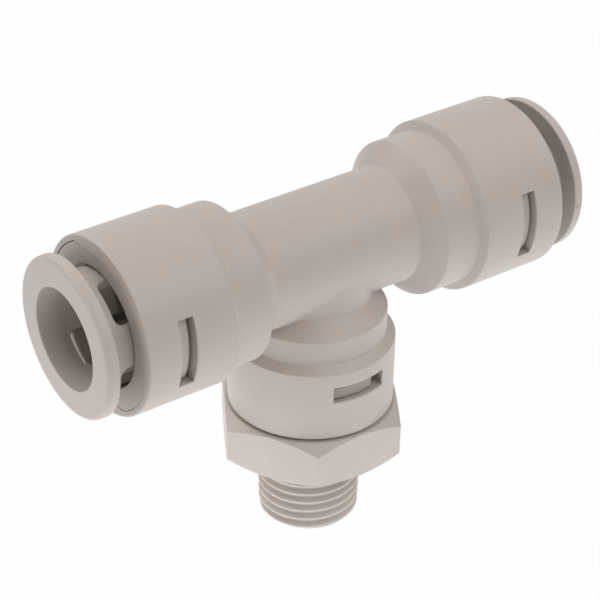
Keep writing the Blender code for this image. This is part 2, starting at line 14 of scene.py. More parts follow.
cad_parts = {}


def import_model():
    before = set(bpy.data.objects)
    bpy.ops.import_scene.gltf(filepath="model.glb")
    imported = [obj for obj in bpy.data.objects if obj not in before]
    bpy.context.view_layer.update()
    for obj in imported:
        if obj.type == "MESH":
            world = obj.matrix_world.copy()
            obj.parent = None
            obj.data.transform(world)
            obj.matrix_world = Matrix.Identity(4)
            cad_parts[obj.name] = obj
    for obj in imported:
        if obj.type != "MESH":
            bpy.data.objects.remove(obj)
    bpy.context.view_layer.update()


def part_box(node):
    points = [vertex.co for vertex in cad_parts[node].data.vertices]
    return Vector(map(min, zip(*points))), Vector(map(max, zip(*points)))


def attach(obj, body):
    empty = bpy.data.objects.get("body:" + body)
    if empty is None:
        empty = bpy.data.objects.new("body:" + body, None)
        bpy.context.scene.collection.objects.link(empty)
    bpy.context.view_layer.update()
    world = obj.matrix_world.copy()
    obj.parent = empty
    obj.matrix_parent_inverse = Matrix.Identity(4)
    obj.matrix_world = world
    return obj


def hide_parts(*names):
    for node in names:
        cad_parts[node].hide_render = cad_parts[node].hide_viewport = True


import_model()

MM = 0.001


def size_of(node):
    """A node's lowest and highest corner, in millimetres."""
    return [np.array(corner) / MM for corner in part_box(node)]


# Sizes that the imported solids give
BODY_LOW, BODY_HIGH = size_of("tee_body")
RING_LOW, RING_HIGH = size_of("right_release_ring")
STEM_HIGH = size_of("threaded_stem")[1]
RETAINER_LOW, RETAINER_HIGH = size_of("stem_retainer")
HALF_RUN = BODY_HIGH[0]
COLLAR_RADIUS = (BODY_HIGH[1] - BODY_LOW[1]) / 2
AXIS_HEIGHT = (RING_LOW[2] + RING_HIGH[2]) / 2
FLANGE_RADIUS = (RING_HIGH[1] - RING_LOW[1]) / 2
FLANGE_FACE = RING_HIGH[0]
NOSE_END = RING_LOW[0]
LEG_END = BODY_LOW[2]
STEM_TOP = STEM_HIGH[2]
HEX_FLAT = STEM_HIGH[1]
RETAINER_TOP = RETAINER_HIGH[2]
RETAINER_BOTTOM = RETAINER_LOW[2]

# Gaps between pieces that move on each other, and between pieces that stay put
RUNNING_GAP = 0.3
FIT_GAP = 0.2

# Port, radii
TUBE_BORE = 6.13
TUBE_MOUTH = 6.42
SLEEVE = 7.33
BARB = 7.9
NOSE = SLEEVE - 0.25
GUIDE_BORE = 7.6
GUIDE_CHAMBER = 8.2
GUIDE = 9.1
TONGUE = 10.08
MAIN_BORE = 9.3
HEAD = 10.36
RECESS = 10.44
SEAL_POCKET = 8.3
SEAL = 8.1
LIP = 5.8
LIP_RISE = 0.75
LIP_GROOVE_HALF = 0.38
TUBE_SEAT = 6.15
PASSAGE = 4.9
POCKET_STEP = 10.1
RUN = 7.55
CLAW = 9.1
CLAW_ROOT = 8.0
CLAW_TIP = 5.9

# Port, places along its axis
FLANGE_BACK = FLANGE_FACE - 1.55
MOUTH_FOOT = FLANGE_FACE - 2.5
BARB_TOP = 26.7
BARB_FOOT = 25.4
GUIDE_INNER = 23.0
GUIDE_LIP = 27.0
HEAD_FACE = HALF_RUN - 0.03
HEAD_START = HALF_RUN - 1.0
RECESS_FLOOR = HALF_RUN - 1.2
CLAW_OUTER = 22.8
CLAW_INNER = 22.4
CLAW_TIP_INNER = 20.6
CLAW_TIP_OUTER = CLAW_TIP_INNER + 0.4
CLAW_SHOULDER = 22.2
SEAL_OUTER = 20.4
SEAL_INNER = 16.4
LIP_LENGTH = 0.7
SEAL_FLOOR = 16.2
TUBE_STOP = 13.2
COLLAR_START = 18.8
POCKET_STEP_END = 18.1
POCKET_STEP_START = 13.3
TUBE_END = 10.8
BORE_END = -0.5

# The mouth's key, and the windows with their tongues
FLAT = 9.2
FLAT_GAP = 0.06
WINDOW = (24.5, 26.55)
WINDOW_HALF_WIDTH = 4.45
TONGUE_SPAN = (24.7, 26.28)
TONGUE_HALF_WIDTH = WINDOW_HALF_WIDTH - FIT_GAP
SLIT_WIDTH = 0.8
SLIT_END = GUIDE_LIP - FIT_GAP
RAMP = 0.35
CORNER = 0.12
BREAK = 0.1

# Sleeve slots and claw teeth
SLOTS = 4
SLOT_HALF_ANGLE = math.radians(23.0)
SLOT_START = math.radians(-36.5)
SLOT_END = 32.0
SLOT_ROUND = 1.0
TEETH = 12
TOOTH_GAP = 0.9

# The gate mark on the flange's edge: half its size, its turn, and its place across, out and along
GATE_MARK_HALF = (0.2, 0.2, 0.36)
GATE_MARK_TURN = math.radians(36.0)
GATE_MARK_AT = (0.43, FLANGE_RADIUS - 0.1, FLANGE_BACK + 0.62)

# How the loose pieces lie in their play, as the photograph shows them
LEFT_RING_TILT = (math.radians(-1.45), math.radians(-0.8))
LEFT_RING_PIVOT = 29.0
RIGHT_RING_DROP = 0.15
GUIDE_SHIFT = 0.05
GUIDE_TURN = math.radians(0.45)
STEM_TURN = math.radians(-1.4)
RETAINER_TURN = math.radians(-4.4)

# Leg, radii and heights above the thread's end
NECK = 7.38
STEP = 9.45
LEG_COLLAR = 10.58
NECK_FOOT = AXIS_HEIGHT - 5.74
STEP_TOP = STEM_TOP
STEP_BOTTOM = LEG_END + 10.3
LEG_COLLAR_TOP = LEG_END + 9.4
SEAL_BORE = 7.4
RETAINER_BORE = 8.8
RETAINER_LEAD = 0.3
LEDGE = LEG_END + 8.8
JOURNAL = 7.1
SHOULDER = 8.5
STEM_NECK = 6.1
GROOVE_FLOOR = 5.4
GROOVE = (STEM_TOP - 3.6, STEM_TOP - 1.2)
STEM_BORE = 4.25
STEM_CHAMFER = 0.4
O_RING_SECTION = 1.8
O_RING_CLEARANCE = 0.1
RETAINER = 8.6
LEG_TONGUE = 9.85
LEG_WINDOW = (LEG_END + 5.25, LEG_END + 7.45)
LEG_TONGUE_SPAN = (LEG_END + 7.25, LEG_END + 5.38)
LEG_WINDOW_HALF_WIDTH = 3.7
LEG_TONGUE_HALF_WIDTH = 2.9
RETAINER_SPLIT = 2.0

# Threaded end
HEX_BOTTOM = 11.0
HEX_TOP = LEG_END - RUNNING_GAP
SHANK_FOOT = HEX_BOTTOM + 3.0
HEX_FACE = 0.985
HEX_CHAMFER = math.radians(30.0)
HEX_EDGE = 0.18
PITCH = 1.337
THREAD_DEPTH = 0.7
THREAD_ROUND = 0.25
FLANK = math.radians(27.5)
THREAD_END = 6.43
THREAD_TAPER = 1.0 / 32.0
THREAD_CHAMFER = 0.7
THREAD_TOP = HEX_BOTTOM + 0.5
RUNOUT_END = HEX_BOTTOM - 0.35
RUNOUT_LENGTH = 0.9
RUNOUT_DEPTH = 0.45
CREST_ANGLE = math.radians(-130.0)
CREST_HEIGHT = 6.04
SEAM = math.radians(60.0) + STEM_TURN
SEAM_WIDTH = 0.12
SEAM_RISE = 0.05

# Where leg and run meet: the patch's extent, and the widths over which its edges and crease are rounded
JUNCTION_HALF = 10.4
JUNCTION_BOTTOM = STEP_TOP - 1.0
LEG_HEIGHTS = np.array([JUNCTION_BOTTOM, STEP_TOP, NECK_FOOT, AXIS_HEIGHT])
CREASE_TOP = AXIS_HEIGHT - 1.2
CREASE_RADIUS = 0.4
CREASE_LEAST = 0.01
NEAR_AXIS = 1.0
FOOT_WIDTH = 0.16
EDGE_WIDTH = 0.12

# How finely the surfaces are divided
ROUND_STEPS = 5
BESIDE_ARC = 0.15
BESIDE_SHARE = 1 / 8
LEAST_ROUNDING = 1e-6
SAME_POINT = 1e-4
SLOT_ROUND_STEPS = 9
SECTION_STEPS = 24
RUN_COLUMNS = 128
SEAM_COLUMNS = 32
LEG_ROWS = 112
SPREAD_ROWS = 36
SPREAD_POWER = 1.3
EDGE_PARTS = 16
FINE_COLUMNS = 144
PLAIN_COLUMNS = 96
THREAD_ROWS = 240
FIRST_ROW = 0.02
SEAM_REACH = 1.8
SEAM_STEPS = 11
WELD = 0.0002
FLAT_EDGE = WELD / 10
SHARP = math.radians(28.0)
SKIN_STEPS = 8
HALVINGS = 40

# How far a cutter reaches past what it cuts
PAST = 1.0

# The camera, as the photograph was taken
VIEW_AZIMUTH = math.radians(36.54)
VIEW_ELEVATION = math.radians(32.325)
VIEW_ROLL = math.radians(1.083)
VIEW_DISTANCE = 278.96
VIEW_RIGHT = -1.632
VIEW_UP = -6.301
LENS = 136.19
SENSOR = 36.0

# Studio light: each lamp's name, azimuth, elevation, power and tint, and the floor, whose spans are in metres
WARM = (1.0, 0.957, 0.948)
COOL = (0.922, 0.944, 1.0)
LAMP_DISTANCE = 550.0
LAMP_SIZE = 330.0
LAMPS = (
    ("left", 174, 12, 0.9, WARM),
    ("back_left", 135, 45, 0.88, WARM),
    ("back", 90, 45, 0.66, WARM),
    ("right", 0, 45, 0.48, WARM),
    ("front_right", 315, 45, 0.7, WARM),
    ("front", 270, 45, 0.96, WARM),
    ("overhead", 0, 90, 0.49, COOL),
)
FLOOR_HALF = 3.0
FLOOR_GAP = 0.02
FLOOR_GLOW = 1.3
GLOW_START = 0.03
GLOW_REACH = 0.15
SHADOW_SHARE = 0.04


def unit(vectors):
    """The vectors v / |v|."""
    return vectors / np.linalg.norm(vectors, axis=-1, keepdims=True)


def outline(corners, closed=False):
    """Points of an outline from corners (radius, height, rounding). At each corner an arc touches the
    straight runs on both sides: its centre is rounding / sin(half the corner's angle) away along the
    bisector. A point is kept close to each end of each arc, so that the flat beside it is shaded flat."""
    corners = np.array(corners, dtype=float)
    at, rounding = corners[:, :2], np.maximum(corners[:, 2], LEAST_ROUNDING)[:, None]
    back = unit(np.roll(at, 1, axis=0) - at)
    on = unit(np.roll(at, -1, axis=0) - at)
    half = np.arccos(np.clip((back * on).sum(axis=1, keepdims=True), -1.0, 1.0)) / 2
    reach = rounding / np.tan(half)
    first = back / np.tan(half) - unit(back + on) / np.sin(half)
    last = on / np.tan(half) - unit(back + on) / np.sin(half)
    centre = at + unit(back + on) * rounding / np.sin(half)
    sweep = np.pi - 2 * half[:, None]
    share = np.linspace(0.0, 1.0, ROUND_STEPS + 1)[None, :, None]
    arc = np.sin((1 - share) * sweep) * first[:, None] + np.sin(share * sweep) * last[:, None]
    arc = centre[:, None] + rounding[:, None] * (arc / np.sin(sweep))
    run_back = np.linalg.norm(np.roll(at, 1, axis=0) - at, axis=1, keepdims=True)
    run_on = np.linalg.norm(np.roll(at, -1, axis=0) - at, axis=1, keepdims=True)
    before = at + back * (reach + np.minimum(BESIDE_ARC, run_back * BESIDE_SHARE))
    after = at + on * (reach + np.minimum(BESIDE_ARC, run_on * BESIDE_SHARE))
    points = np.concatenate([before[:, None], arc, after[:, None]], axis=1)
    if closed:
        return distinct(points.reshape(-1, 2))
    middle = points[1:-1].reshape(-1, 2)
    return distinct(np.vstack([at[:1], middle, at[-1:]]))


def distinct(points):
    """The points without those that repeat the one before."""
    step = np.linalg.norm(np.diff(points, axis=0), axis=1)
    return points[np.concatenate([[True], step > SAME_POINT])]


def turned(points, columns, start=0.0):
    """A grid of (r cos a, r sin a, h): a row for each
    outline point (r, h), and columns of even angles a."""
    angle = start + np.arange(columns) * 2 * np.pi / columns
    radius, height = points[:, :1], points[:, 1:]
    return np.stack([radius * np.cos(angle), radius * np.sin(angle), height + 0 * angle], axis=-1)


def quads(grid, close_rows=False):
    """The faces between neighbouring rows and columns of a grid whose last column meets its first."""
    index = np.arange(grid.shape[0] * grid.shape[1]).reshape(grid.shape[:2])
    if close_rows:
        index = np.vstack([index, index[:1]])
    beside = np.roll(index, -1, axis=1)
    return np.stack([index[:-1], beside[:-1], beside[1:], index[1:]], axis=-1).reshape(-1, 4)


def solid(name, *grids, close_rows=False):
    """One closed mesh from grids of points in millimetres, welded where they meet and facing outward."""
    counts = np.cumsum([0] + [grid.shape[0] * grid.shape[1] for grid in grids])
    points = np.concatenate([grid.reshape(-1, 3) for grid in grids]) * MM
    faces = np.concatenate([quads(grid, close_rows) + start for grid, start in zip(grids, counts)])
    mesh = bpy.data.meshes.new(name)
    mesh.vertices.add(len(points))
    mesh.vertices.foreach_set("co", points.ravel())
    mesh.loops.add(faces.size)
    mesh.loops.foreach_set("vertex_index", faces.ravel())
    mesh.polygons.add(len(faces))
    mesh.polygons.foreach_set("loop_start", np.arange(len(faces)) * 4)
    mesh.update(calc_edges=True)
    tidy(mesh)
    piece = bpy.data.objects.new(name, mesh)
    bpy.context.scene.collection.objects.link(piece)
    return piece


def tidy(mesh):
    """Welds doubled points, drops faces without area and turns the rest outward."""
    form = bmesh.new()
    form.from_mesh(mesh)
    bmesh.ops.remove_doubles(form, verts=form.verts, dist=WELD * MM)
    bmesh.ops.dissolve_degenerate(form, edges=form.edges, dist=FLAT_EDGE * MM)
    bmesh.ops.recalc_face_normals(form, faces=form.faces)
    form.to_mesh(mesh)
    form.free()


def lathe(name, corners, closed=True, columns=FINE_COLUMNS):
    """A turned solid: a closed outline round a hole, or an open one whose two ends are on the axis."""
    return solid(name, turned(outline(corners, closed), columns), close_rows=closed)


def block(name, low, high):
    """A box between two corners, in millimetres."""
    low, high = np.array(low), np.array(high)
    mesh = bpy.data.meshes.new(name)
    form = bmesh.new()
    bmesh.ops.create_cube(form, size=1.0)
    bmesh.ops.scale(form, verts=form.verts, vec=(high - low) * MM)
    bmesh.ops.translate(form, verts=form.verts, vec=(high + low) / 2 * MM)
    form.to_mesh(mesh)
    form.free()
    piece = bpy.data.objects.new(name, mesh)
    bpy.context.scene.collection.objects.link(piece)
    return piece


def combine(piece, operation, *others):
    """Applies a Boolean with each of the others in turn, and removes them."""
    for other in others:
        boolean = piece.modifiers.new(other.name, "BOOLEAN")
        boolean.operation = operation
        boolean.solver = "MANIFOLD"
        boolean.object = other
    graph = bpy.context.evaluated_depsgraph_get()
    result = bpy.data.meshes.new_from_object(piece.evaluated_get(graph))
    if len(result.vertices) == len(piece.data.vertices):
        raise RuntimeError(f"{piece.name}: no Boolean was made")
    piece.modifiers.clear()
    piece.data = result
    for other in others:
        bpy.data.objects.remove(other)
    return piece


def placed(piece, side):
    """Moves a piece's mesh from a port's own axes to the run's right end (side 1) or left end (side -1)."""
    lift = Matrix.Translation((0.0, 0.0, AXIS_HEIGHT * MM))
    piece.data.transform(lift @ Matrix.Rotation(side * math.pi / 2, 4, "Y"))
    return piece


def finished(piece, material, body, node):
    """Shades a piece, gives it its material, and seats it on its body in place of its plain solid."""
    piece.name = node + "_surface"
    piece.data.shade_smooth()
    piece.data.set_sharp_from_angle(angle=SHARP)
    piece.data.materials.clear()
    piece.data.materials.append(material)
    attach(piece, body)
    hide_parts(node)


def lower_of(a, b, width):
    """The lower of two fields, with their crease filled: min(a, b) - h * h * width / 4,
    where h = 1 - |a - b| / width, and no less than 0."""
    h = np.clip(1 - np.abs(a - b) / width, 0.0, None)
    return np.minimum(a, b) - h * h * width / 4


def higher_of(a, b, width):
    """The higher of two fields, with their edge rounded the same way."""
    return -lower_of(-a, -b, width)


def body_field(points):
    """Zero on the moulding's skin where leg and run meet, and negative inside it. The
    run is its distance from the X axis less the run's radius. The leg joins its neck's
    to the higher of the step's and the cone's, and stops at the run's axis. The crease's
    width follows the angle between the two surfaces, so that its fillet is even."""
    x, y, z = points[..., 0], points[..., 1], points[..., 2] - AXIS_HEIGHT
    across, radius = np.hypot(y, z), np.hypot(x, y)
    out, down = STEP - NECK, NECK_FOOT - STEP_TOP
    cone = ((radius - NECK) * down + (z + AXIS_HEIGHT - NECK_FOOT) * out) / math.hypot(out, down)
    step = higher_of(cone, radius - STEP, EDGE_WIDTH)
    leg = np.maximum(lower_of(radius - NECK, step, FOOT_WIDTH), z)
    facing = y * y / np.maximum(across * radius, NEAR_AXIS)
    width = 4 * CREASE_RADIUS * (1 - np.sqrt((1 + facing) / 2))
    return lower_of(across - RUN, leg, np.maximum(width, CREASE_LEAST))


def onto_skin(points):
    """Slides points along the field's gradient g, by field * g / (g . g), until the field is zero."""
    nudge = 0.001
    axes = np.eye(3) * nudge
    for _ in range(SKIN_STEPS):
        value = body_field(points)
        change = [body_field(points + axis) - body_field(points - axis) for axis in axes]
        gradient = np.stack(change, axis=-1) / (2 * nudge)
        points = points - value[..., None] * gradient / (gradient**2).sum(axis=-1, keepdims=True)
    return points


def crease_height(across):
    """The height where the leg's outline R(z) meets the run,
    (R(z) sin a)^2 + (z - axis)^2 = run^2, by halving."""
    low = np.full_like(across, JUNCTION_BOTTOM)
    high = np.full_like(across, CREASE_TOP)
    for _ in range(HALVINGS):
        middle = (low + high) / 2
        outside = (leg_radius(middle) * across) ** 2 + (middle - AXIS_HEIGHT) ** 2 > RUN**2
        low = np.where(outside, middle, low)
        high = np.where(outside, high, middle)
    return low


def leg_radius(height):
    """The leg's outline above the step's foot: the step,
    the cone that narrows to the neck, and the neck."""
    return np.interp(height, LEG_HEIGHTS, [STEP, STEP, NECK, NECK])


def junction():
    """The skin where the leg meets the run. Each column starts on the leg's
    step, climbs to the crease, and then crosses the run, unrolled flat, to
    the edge of the run's middle stretch. Rows near the crease lie closer."""
    columns = 2 * (RUN_COLUMNS + SEAM_COLUMNS)
    corner = math.pi * RUN_COLUMNS / columns
    around = -corner + np.arange(columns) * 2 * np.pi / columns
    top = crease_height(np.sin(around))

    slope = np.hypot(np.diff(LEG_HEIGHTS), np.diff(leg_radius(LEG_HEIGHTS)))
    travel = np.concatenate([[0], np.cumsum(slope)])
    length = np.interp(top, LEG_HEIGHTS, travel)
    climbed = np.linspace(0, 1, LEG_ROWS)[:, None] * length
    z = np.interp(climbed, travel, LEG_HEIGHTS)
    leg = np.stack([leg_radius(z) * np.cos(around), leg_radius(z) * np.sin(around), z], axis=-1)

    crease_x = leg[-1, :, 0]
    crease_angle = np.arctan2(leg[-1, :, 1], AXIS_HEIGHT - top)
    full = np.linspace(-np.pi, np.pi, RUN_COLUMNS + 1)[:-1]
    along = np.linspace(JUNCTION_HALF, -JUNCTION_HALF, SEAM_COLUMNS + 1)[:-1]
    side, seam = np.full(RUN_COLUMNS, JUNCTION_HALF), np.full(SEAM_COLUMNS, np.pi)
    edge_x = np.concatenate([side, along, -side, -along])
    edge_angle = np.concatenate([full, seam, -full, -seam])
    share = (np.linspace(0, 1, SPREAD_ROWS + 1)[1:, None]) ** SPREAD_POWER
    x = crease_x + (edge_x - crease_x) * share
    angle = crease_angle + (edge_angle - crease_angle) * share
    run = np.stack([x, RUN * np.sin(angle), AXIS_HEIGHT - RUN * np.cos(angle)], axis=-1)

    skin = np.concatenate([leg, run])
    skin[1:-1] = onto_skin(skin[1:-1])
    return skin, around[0]


def port_points(grid, side):
    """A port's own grid as it lies on the run."""
    return np.stack([side * grid[..., 2], grid[..., 1], AXIS_HEIGHT - side * grid[..., 0]], axis=-1)


def body_skin():
    """The moulding's outside: the junction, a turned end
    each way along the run, and the leg's turned end."""
    run_end = outline([
        (RUN, JUNCTION_HALF, 0),
        (RUN, TUBE_END, 0.5),
        (POCKET_STEP, POCKET_STEP_START, 0.35),
        (POCKET_STEP, POCKET_STEP_END, 0.15),
        (COLLAR_RADIUS, COLLAR_START, 0.2),
        (COLLAR_RADIUS, HALF_RUN, 0.22),
        (0, HALF_RUN, 0),
    ])
    leg_end = outline([
        (STEP, JUNCTION_BOTTOM, 0),
        (STEP, STEP_BOTTOM, 0.15),
        (LEG_COLLAR, LEG_COLLAR_TOP, 0.18),
        (LEG_COLLAR, LEG_END, 0.2),
        (0, LEG_END, 0),
    ])
    skin, start = junction()
    ends = [port_points(turned(run_end, RUN_COLUMNS), side) for side in (-1, 1)]
    leg = turned(leg_end, skin.shape[1], start)
    return solid("moulded_body", skin, leg, *ends)


def port_void(side):
    """What the mouth and the bore of one port leave empty, to the middle of the run."""
    bore = lathe("port_bore", [
        (0, HALF_RUN + PAST, 0),
        (MAIN_BORE, HALF_RUN + PAST, 0),
        (MAIN_BORE, CLAW_SHOULDER, 0.1),
        (SEAL_POCKET, CLAW_SHOULDER, 0.15),
        (SEAL_POCKET, SEAL_FLOOR, 0.1),
        (TUBE_SEAT, SEAL_FLOOR, 0.2),
        (TUBE_SEAT, TUBE_STOP, 0.1),
        (PASSAGE, TUBE_STOP, 0.15),
        (PASSAGE, BORE_END, 0),
        (0, BORE_END, 0),
    ], closed=False, columns=PLAIN_COLUMNS)
    recess = lathe("mouth_recess", [
        (0, HALF_RUN + PAST, 0),
        (RECESS, HALF_RUN + PAST, 0),
        (RECESS, RECESS_FLOOR, 0),
        (0, RECESS_FLOOR, 0),
    ], closed=False)
    flat = FLAT + FLAT_GAP
    key = block("keyed", (-flat, -RECESS - PAST, 0), (flat, RECESS + PAST, 2 * HALF_RUN))
    combine(recess, "INTERSECT", key)
    window = window_cutter("snap_window", WINDOW, WINDOW_HALF_WIDTH, COLLAR_RADIUS)
    return [placed(piece, side) for piece in (bore, recess, window)]


def leg_void():
    """What the leg's bore and windows leave empty, up to the run's axis."""
    bore = lathe("leg_bore", [
        (0, AXIS_HEIGHT, 0),
        (PASSAGE, AXIS_HEIGHT, 0),
        (PASSAGE, STEM_TOP + RUNNING_GAP, 0.15),
        (SEAL_BORE, STEM_TOP + RUNNING_GAP, 0.1),
        (SEAL_BORE, LEDGE, 0.2),
        (RETAINER_BORE, LEDGE, 0.1),
        (RETAINER_BORE, LEG_END + RETAINER_LEAD, 0),
        (RETAINER_BORE + RETAINER_LEAD, LEG_END, 0),
        (RETAINER_BORE + RETAINER_LEAD, LEG_END - PAST, 0),
        (0, LEG_END - PAST, 0),
    ], closed=False, columns=PLAIN_COLUMNS)
    return [bore, window_cutter("leg_window", LEG_WINDOW, LEG_WINDOW_HALF_WIDTH, LEG_COLLAR)]


def window_cutter(name, span, half_width, radius):
    """A cutter for two opposite windows of a collar. Its section is a rectangle
    with small round corners, in x and z, carried along y. Where it crosses the
    collar's skin, at y = sqrt(radius^2 - x^2), the section has grown by the width
    of the broken edge, and that far inside the skin it is the window's own."""
    low, high = span
    sections = []
    for grow in (0.0, BREAK):
        across, bottom, top = half_width + grow, low - grow, high + grow
        corners = [(-across, bottom), (across, bottom), (across, top), (-across, top)]
        sections.append(finely(outline([(*corner, CORNER + grow) for corner in corners], closed=True)))
    own, grown = sections
    skin = np.sqrt(radius**2 - grown[:, 0] ** 2)
    past = np.full_like(skin, radius + PAST)
    middle = np.broadcast_to(grown.mean(axis=0), grown.shape)
    levels = [
        (middle, -past),
        (grown, -past),
        (grown, -skin),
        (own, BREAK - skin),
        (own, skin - BREAK),
        (grown, skin),
        (grown, past),
        (middle, past),
    ]
    return solid(name, np.stack([np.column_stack([at[:, 0], y, at[:, 1]]) for at, y in levels]))


def finely(points):
    """A closed outline of four sides, divided evenly: each of its points again, with more between
    them. Outlines with the same corners get the same number of points, at matching places."""
    parts = np.arange(EDGE_PARTS) / EDGE_PARTS
    on = np.roll(points, -1, axis=0) - points
    return (points[:, None] + parts[None, :, None] * on[:, None]).reshape(-1, 2)


def tongue_band(name, span, radius, root, half_width):
    """A closed ring with a ramp on the end named first, cut down to two tongues for a pair of windows."""
    ramped, square = span
    ramp = math.copysign(RAMP, square - ramped)
    band = lathe(name, [
        (radius, square, 0.08),
        (radius, ramped + ramp, 0.3),
        (radius - RAMP, ramped, 0.08),
        (root, ramped, 0),
        (root, square, 0),
    ])
    low, high = min(span) - PAST, max(span) + PAST
    width = block(name + "_width", (-half_width, -2 * radius, low), (half_width, 2 * radius, high))
    return combine(band, "INTERSECT", width)


def guide_ring(side):
    """The collar's end ring: its keyed head shows round
    the release ring, and its tongues in the windows."""
    ring = lathe("guide_ring", [
        (HEAD, HEAD_FACE, 0.06),
        (HEAD, HEAD_START, 0),
        (GUIDE, HEAD_START, 0.1),
        (GUIDE, GUIDE_INNER, 0.2),
        (GUIDE_CHAMBER, GUIDE_INNER, 0.1),
        (GUIDE_CHAMBER, GUIDE_LIP, 0.1),
        (GUIDE_BORE, GUIDE_LIP, 0.1),
        (GUIDE_BORE, HEAD_FACE, 0.2),
    ])
    root = (GUIDE + GUIDE_CHAMBER) / 2
    combine(ring, "UNION", tongue_band("guide_tongues", TONGUE_SPAN, TONGUE, root, TONGUE_HALF_WIDTH))
    reach = COLLAR_RADIUS
    cutters = []
    for hand in (-1, 1):
        near, far = sorted((hand * TONGUE_HALF_WIDTH, hand * (TONGUE_HALF_WIDTH + SLIT_WIDTH)))
        cutters.append(block("slit", (near, -reach, GUIDE_INNER - PAST), (far, reach, SLIT_END)))
        near, far = sorted((hand * FLAT, hand * reach))
        cutters.append(block("head_flat", (near, -reach, HEAD_START - PAST), (far, reach, HALF_RUN + PAST)))
    combine(ring, "DIFFERENCE", *cutters)
    shift = Matrix.Translation((0.0, -GUIDE_SHIFT * MM, 0.0))
    ring.data.transform(shift @ Matrix.Rotation(GUIDE_TURN, 4, "Z"))
    return placed(ring, side)


def slot_outline(grow):
    """A slot's outline, grown: a rectangle in angle and height, with round corners at its blind end."""
    half, end, turn = SLOT_HALF_ANGLE + grow / SLEEVE, SLOT_END + grow, SLOT_ROUND + grow
    low = NOSE_END - PAST
    share = np.linspace(0, np.pi / 2, SLOT_ROUND_STEPS)
    bend, drop = turn / SLEEVE * (1 - np.cos(share)), turn * (1 - np.sin(share))
    angle = np.concatenate([[-half], -half + bend, half - bend[::-1], [half]])
    return angle, np.concatenate([[low], end - drop, end - drop[::-1], [low]])


def slot_cutter(index):
    """A slot between two radii. Its outline is carried from inside the bore to outside the barbs, and
    is grown where it crosses the bore's wall and the sleeve's, by the width of the broken edges."""
    levels = [
        (TUBE_BORE - PAST, BREAK),
        (TUBE_BORE, BREAK),
        (TUBE_BORE + BREAK, 0.0),
        (SLEEVE - BREAK, 0.0),
        (SLEEVE, BREAK),
        (BARB + PAST, BREAK),
    ]
    turn = SLOT_START + index * 2 * np.pi / SLOTS
    rings = []
    for radius, grow in levels:
        angle, height = slot_outline(grow)
        angle = angle + turn
        rings.append(np.stack([radius * np.cos(angle), radius * np.sin(angle), height], axis=-1))
    inside, outside = rings[0].mean(axis=0), rings[-1].mean(axis=0)
    rings = [np.broadcast_to(inside, rings[0].shape), *rings, np.broadcast_to(outside, rings[0].shape)]
    return solid(f"slot_{index}", np.stack(rings))


def release_ring(side):
    """The ring that is pressed to let a tube go: a flange, and a slotted
    sleeve that ends in barbs. It has play in its guide: as in the photograph,
    the left one is tilted in it and the right one hangs a little low."""
    ring = lathe("release_ring", [
        (TUBE_MOUTH, FLANGE_FACE, 0.15),
        (FLANGE_RADIUS, FLANGE_FACE, 0.68),
        (FLANGE_RADIUS, FLANGE_BACK, 0.15),
        (SLEEVE, FLANGE_BACK, 0.25),
        (SLEEVE, BARB_TOP, 0.05),
        (BARB, BARB_TOP, 0.08),
        (SLEEVE, BARB_FOOT, 0.3),
        (NOSE, NOSE_END, 0.1),
        (TUBE_BORE, NOSE_END, 0.15),
        (TUBE_BORE, MOUTH_FOOT, 2.0),
    ])
    across, out, along = GATE_MARK_AT
    gate = block("gate_mark", [-half for half in GATE_MARK_HALF], GATE_MARK_HALF)
    turn = Matrix.Rotation(side * GATE_MARK_TURN, 4, "Z")
    gate.data.transform(Matrix.Translation(Vector((across, -side * out, along)) * MM) @ turn)
    combine(ring, "UNION", gate)
    combine(ring, "DIFFERENCE", *[slot_cutter(index) for index in range(SLOTS)])
    placed(ring, side)
    if side > 0:
        ring.data.transform(Matrix.Translation((0.0, 0.0, -RIGHT_RING_DROP * MM)))
        return ring
    to_pivot = Matrix.Translation(Vector((-LEFT_RING_PIVOT, 0.0, AXIS_HEIGHT)) * MM)
    about_y, about_z = LEFT_RING_TILT
    tilt = Matrix.Rotation(about_z, 4, "Z") @ Matrix.Rotation(about_y, 4, "Y")
    ring.data.transform(to_pivot @ tilt @ to_pivot.inverted())
    return ring


def lock_claw(side):
    """A stainless strip ring whose teeth lean inward, parted by straight gaps."""
    ring = lathe("lock_claw", [
        (CLAW, CLAW_OUTER, 0.06),
        (CLAW, CLAW_INNER, 0.06),
        (CLAW_ROOT, CLAW_INNER, 0.2),
        (CLAW_TIP, CLAW_TIP_INNER, 0.03),
        (CLAW_TIP, CLAW_TIP_OUTER, 0.1),
        (CLAW_ROOT, CLAW_OUTER, 0.2),
    ], columns=PLAIN_COLUMNS)
    gaps = []
    for index in range(TEETH):
        gap = block(
            f"tooth_gap_{index}",
            (CLAW_TIP - PAST, -TOOTH_GAP / 2, CLAW_TIP_INNER - PAST),
            (CLAW_ROOT - TOOTH_GAP / 2, TOOTH_GAP / 2, CLAW_OUTER + PAST),
        )
        gap.data.transform(Matrix.Rotation(2 * math.pi * index / TEETH, 4, "Z"))
        gaps.append(gap)
    return placed(combine(ring, "DIFFERENCE", *gaps), side)


def tube_seal(side):
    """A rubber ring with two lips, and a groove in its inner end that pressure opens."""
    waist = (SEAL + LIP) / 2
    middle = (SEAL_INNER + SEAL_OUTER) / 2
    ring = lathe("tube_seal", [
        (SEAL, SEAL_OUTER, 0.4),
        (SEAL, SEAL_INNER, 0.35),
        (waist + LIP_GROOVE_HALF, SEAL_INNER, 0.12),
        (waist, middle, 0.12),
        (waist - LIP_GROOVE_HALF, SEAL_INNER, 0.12),
        (LIP, SEAL_INNER, 0.3),
        (LIP, SEAL_INNER + LIP_LENGTH, 0.3),
        (LIP + LIP_RISE, middle, 0.6),
        (LIP, SEAL_OUTER - LIP_LENGTH, 0.3),
        (LIP, SEAL_OUTER, 0.3),
    ], columns=PLAIN_COLUMNS)
    return placed(ring, side)


